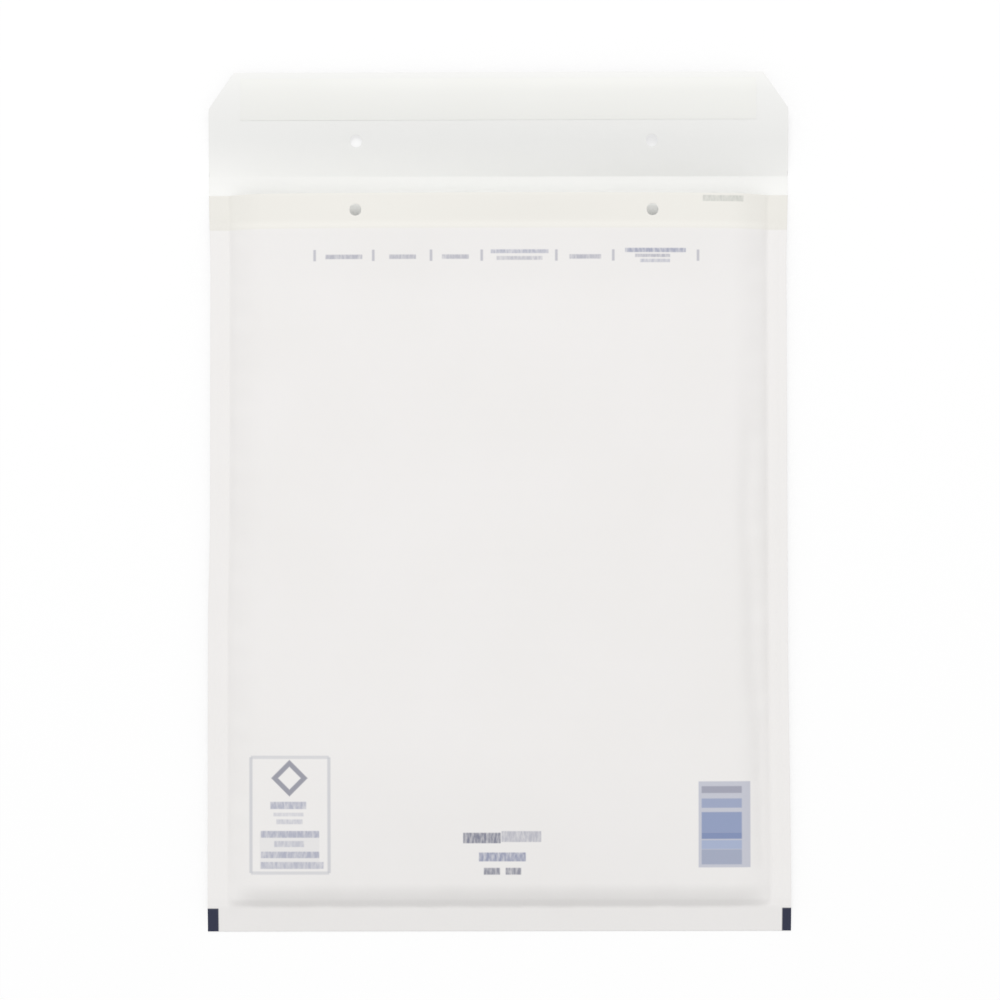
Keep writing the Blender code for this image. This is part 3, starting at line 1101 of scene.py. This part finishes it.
@dataclass
class BubbleLining:
    """The bubble film: one clear web folded at the bottom, with its air bubbles against the paper.

    A bubble's profile lists its rings as shares of its radius and of its height, below its tip.
    """

    form: PouchForm
    film: float = 0.06 * MM
    apart: float = 0.1 * MM
    step: float = 4 * MM
    edge_band: float = 26 * MM
    edge_step: float = 2 * MM
    middle_step: float = 6 * MM
    foot_band: float = 14 * MM
    foot_step: float = 1.5 * MM
    bend: float = 0.3 * MM
    bubble_radius: float = 5.0 * MM
    profile: tuple = ((1.0, 0.0), (0.93, 0.62), (0.66, 0.94))
    sides: int = 10
    play: float = 0.25 * MM
    lowest: float = 0.05 * MM
    side_share: float = 0.4
    foot_share: float = 0.6
    top_margin: float = 0.3 * MM

    def ceiling(self, x: Array, v: Array) -> Array:
        """Gives the highest that the film's middle may be, just under the front panel."""
        return self.form.front(x, v) - self.form.paper / 2 - self.form.skin

    def floor(self, x: Array, v: Array) -> Array:
        """Gives the lowest that the film's middle may be, just over the back panel."""
        return self.form.back(x, v) + self.form.paper / 2 + self.form.skin

    def sheet_height(self, x: Array, v: Array, upper: bool) -> Array:
        """Gives the height of the flat film of one layer, the face that goods slide on."""
        form = self.form
        low = form.lining_base(x, v) + form.film(x, v) - form.pressed(x, v) * 0.5
        if not upper:
            return np.maximum(low - self.apart / 2, self.floor(x, v))
        relief = form.relief(x, v)
        high = low + form.gap(x, v) + self.apart / 2 + np.minimum(relief, 0) + np.maximum(relief, 0) * 0.5
        return np.minimum(high, self.ceiling(x, v))

    def web(self) -> Object:
        """Builds the film itself: the upper layer down from the mouth, round its fold and back up."""
        form, edge = self.form, self.form.half - self.edge_band
        across = spans(
            (-form.half, 0), (-edge, self.edge_step), (edge, self.middle_step), (form.half, self.edge_step)
        )
        along = spans(
            (form.bottom_margin + self.bend, 0),
            (form.bottom_margin + self.foot_band, self.foot_step),
            (form.lined_top, self.step),
        )
        x, v = np.meshgrid(across, along)
        upper, lower = (form.at(x, v, self.sheet_height(x, v, layer)) for layer in (True, False))
        x, v = np.meshgrid(across, [form.bottom_margin])
        bend = form.at(x, v, (upper[:1, :, 2] + self.sheet_height(x, v, False)) / 2)
        points = np.concatenate([upper[::-1], bend, lower])
        piece = mesh_object("bubble_film", points, grid_faces(*points.shape[:2])[:, ::-1])
        thicken(piece, self.film)
        return piece

    def lattice(self) -> tuple[Array, Array]:
        """Gives the bubbles' centres, x and v: rows set off by half a pitch, as round bubbles nest."""
        form, pitch, radius = self.form, self.form.bubble_pitch, self.bubble_radius
        row = pitch * math.sqrt(3) / 2
        count_v = math.ceil(form.lined_top / row)
        count_x = math.ceil(form.half / pitch) + 1
        i, j = np.meshgrid(np.arange(-count_x, count_x + 1), np.arange(count_v + 1))
        x, v = (i + 0.5 * (j % 2)) * pitch, j * row
        fits = np.abs(x) < form.pocket_half - self.side_share * radius
        fits &= v > form.bottom_margin + self.foot_share * radius
        fits &= v < form.lined_top - radius - self.top_margin
        return x[fits], v[fits]

    def dome(self) -> tuple[Array, Array]:
        """Builds one bubble.

        Returns:
            Its points as places from its centre, across and along, and shares of its height, and its
            faces as quads, of which those at the tip have it twice.
        """
        turn = 2 * math.pi * np.arange(self.sides) / self.sides
        radius, rise = np.array(self.profile).T[..., None]
        across, along = radius * np.cos(turn) * self.bubble_radius, radius * np.sin(turn) * self.bubble_radius
        rings = np.stack([across, along, np.broadcast_to(rise, across.shape)], axis=-1)
        index = np.arange(across.size).reshape(across.shape)
        after, tip = np.roll(index, -1, axis=1), np.full(self.sides, across.size)
        walls = np.stack([index[:-1], after[:-1], after[1:], index[1:]], axis=-1).reshape(-1, 4)
        cap = np.stack([index[-1], after[-1], tip, tip], axis=-1)
        return np.concatenate([rings.reshape(-1, 3), [[0.0, 0.0, 1.0]]]), np.concatenate([walls, cap])

    def bubbles(self) -> Object:
        """Builds all bubbles as one mesh: a dome at each centre, as high as the film is there."""
        form, (dome, quads) = self.form, self.dome()
        x, v = (centre[:, None] + dome[:, axis] for axis, centre in enumerate(self.lattice()))
        rise = dome[:, 2] * np.maximum(form.film(x, v) - self.play, self.lowest)
        high = np.minimum(self.sheet_height(x, v, True) + rise, self.ceiling(x, v))
        low = np.maximum(self.sheet_height(x, v, False) - rise, self.floor(x, v))
        points = np.concatenate([form.at(x, v, z).reshape(-1, 3) for z in (high, low)])
        faces = (quads + len(dome) * np.arange(len(x))[:, None, None]).reshape(-1, 4)
        faces = np.concatenate([faces, faces[:, ::-1] + x.size])
        return mesh_object("air_bubbles", points, self.split_tips(faces))

    @staticmethod
    def split_tips(quads: Array) -> Array:
        """Turns every quad into two triangles, and drops those that have a corner twice."""
        triangles = np.concatenate([quads[:, [0, 1, 2]], quads[:, [0, 2, 3]]])
        a, b, c = triangles.T
        return triangles[(a != b) & (b != c) & (a != c)]

    def build(self) -> None:
        """Builds the film and its bubbles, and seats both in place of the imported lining."""
        clear = FilmFinish("clear bubble film", srgb(236, 240, 243), 0.12, 0.55).build()
        for piece in (self.web(), self.bubbles()):
            piece.data.materials.append(clear)
            place(piece, ("bubble_lining",), "bubble_film")


@dataclass
class FlapStrips:
    """The band of glue on the flap and the liner that peels off it."""

    form: PouchForm
    effects: Effects
    end_inset: float = 16 * MM
    from_edge: float = 3 * MM
    height: float = 21 * MM
    glue_edge: float = 0.4 * MM
    glue: float = 0.04 * MM
    liner: float = 0.05 * MM
    gap: float = 0.01 * MM
    step: float = 2 * MM

    def strip(self, name: str, edge: float, base: float, thickness: float) -> Object:
        """Builds a strip that follows the flap.

        Args:
            name: The piece's name.
            edge: How far the strip is drawn in all round.
            base: How far over the middle of the flap's paper it lies.
            thickness: Its thickness.

        Returns:
            The strip.
        """
        form = self.form
        end, top = form.half - self.end_inset - edge, form.length - self.from_edge
        across = spans((-end, 0), (end, self.step))
        along = spans((top - self.height + edge, 0), (top - edge, self.step))
        x, v = np.meshgrid(across, along)
        points = form.at(x, v, form.flap(x, v) + base + thickness / 2)
        piece = mesh_object(name, points, grid_faces(*points.shape[:2]))
        thicken(piece, thickness)
        return piece

    def build(self) -> None:
        """Builds and seats the glue and the liner."""
        glue_base = self.form.paper / 2 + self.gap
        glue = self.strip("glue_band", self.glue_edge, glue_base, self.glue)
        glue.data.materials.append(FilmFinish("pressure glue", srgb(228, 225, 208), 0.3, 0.9).build())
        place(glue, ("adhesive_strip",), "glue")
        liner = self.strip("peel_liner", 0.0, glue_base + self.glue + self.gap, self.liner)
        colour, shade = srgb(239, 239, 236), srgb(237, 237, 233)
        coated = PaperFinish("coated liner", colour, shade, roughness=0.5, bump=0.05)
        liner.data.materials.append(coated.build(self.effects))
        place(liner, ("release_liner",), "liner_film")


@dataclass
class Studio:
    """The white floor, the soft light from the upper left, and the camera that looks down."""

    aim: tuple = (0.0006, 0.0001, 0.0028)
    distance: float = 2.0
    picture_width: float = 0.4989
    tilt: float = 2.2
    roll: float = -0.09
    sensor: float = 36.0
    farthest: float = 20.0
    lamp_place: tuple = (-0.3, 2.7, 3.9)
    lamp_size: float = 2.6
    lamp_power: float = 94.0
    sky: float = 0.68
    floor_half: float = 6.0
    floor_drop: float = 0.05 * MM
    floor_grey: float = 0.85
    floor_glow: float = 0.7

    def camera(self) -> None:
        """Puts a long lens over the envelope, leaning a little towards its bottom fold."""
        data = bpy.data.cameras.new("camera")
        data.sensor_width = self.sensor
        data.lens = self.sensor * self.distance / self.picture_width
        data.clip_end = self.farthest
        eye = bpy.data.objects.new("camera", data)
        turn = Euler((math.radians(self.tilt), 0.0, math.radians(self.roll)))
        eye.location = Vector(self.aim) + self.distance * (turn.to_matrix() @ Vector((0.0, 0.0, 1.0)))
        eye.rotation_euler = turn
        bpy.context.scene.collection.objects.link(eye)
        bpy.context.scene.camera = eye

    def lamp(self) -> None:
        """Puts one large soft lamp at the upper left."""
        data = bpy.data.lights.new("soft_lamp", "AREA")
        data.size = self.lamp_size
        data.energy = self.lamp_power
        lamp = bpy.data.objects.new("soft_lamp", data)
        lamp.location = self.lamp_place
        lamp.rotation_euler = (-Vector(self.lamp_place)).to_track_quat("-Z", "Y").to_euler()
        bpy.context.scene.collection.objects.link(lamp)

    def world(self) -> None:
        """Lights the scene evenly from all round, and shows the camera white."""
        world = bpy.data.worlds.new("white_room")
        world.use_nodes = True
        bpy.context.scene.world = world
        shader = Shader(world.node_tree)
        path = shader.node("ShaderNodeLightPath").outputs
        seen = shader.maths("MAXIMUM", path["Is Camera Ray"], path["Is Glossy Ray"])
        seen = shader.maths("MAXIMUM", seen, path["Is Transmission Ray"])
        strength = shader.maths("MULTIPLY_ADD", seen, 1.0 - self.sky, self.sky)
        shader.fill(world.node_tree.nodes["Background"], {"Color": WHITE, "Strength": strength})

    def floor(self) -> None:
        """Lays the white floor: it takes the envelope's shadow, over a glow that only the camera sees."""
        half, low = self.floor_half, -self.floor_drop
        points = np.array([[-half, -half, low], [half, -half, low], [half, half, low], [-half, half, low]])
        ground = mesh_object("floor", points, np.array([[0, 1, 2, 3]]))
        material, shader, surface = new_material("white floor")
        seen = shader.node("ShaderNodeLightPath").outputs["Is Camera Ray"]
        grey, shown = ((tone, tone, tone, 1.0) for tone in (self.floor_grey, 1.0 - self.floor_glow))
        shader.fill(surface, {
            "Base Color": shader.mix(seen, grey, shown),
            "Roughness": 1.0,
            "Specular IOR Level": 0.0,
            "Emission Color": WHITE,
            "Emission Strength": shader.maths("MULTIPLY", seen, self.floor_glow),
        })
        ground.data.materials.append(material)

    def build(self) -> None:
        """Sets the stage and how its light is shown."""
        self.camera()
        self.lamp()
        self.world()
        self.floor()
        bpy.context.scene.view_settings.view_transform = "Standard"


def main() -> None:
    """Builds the studio and every piece."""
    logging.basicConfig(level=logging.INFO, format="%(message)s")
    Studio().build()
    form = PouchForm()
    effects = Effects(fibre_group(), bar_group(), diamond_group())
    PaperWeb(form, effects).build()
    BubbleLining(form).build()
    FlapStrips(form, effects).build()


if __name__ == "__main__":
    main()
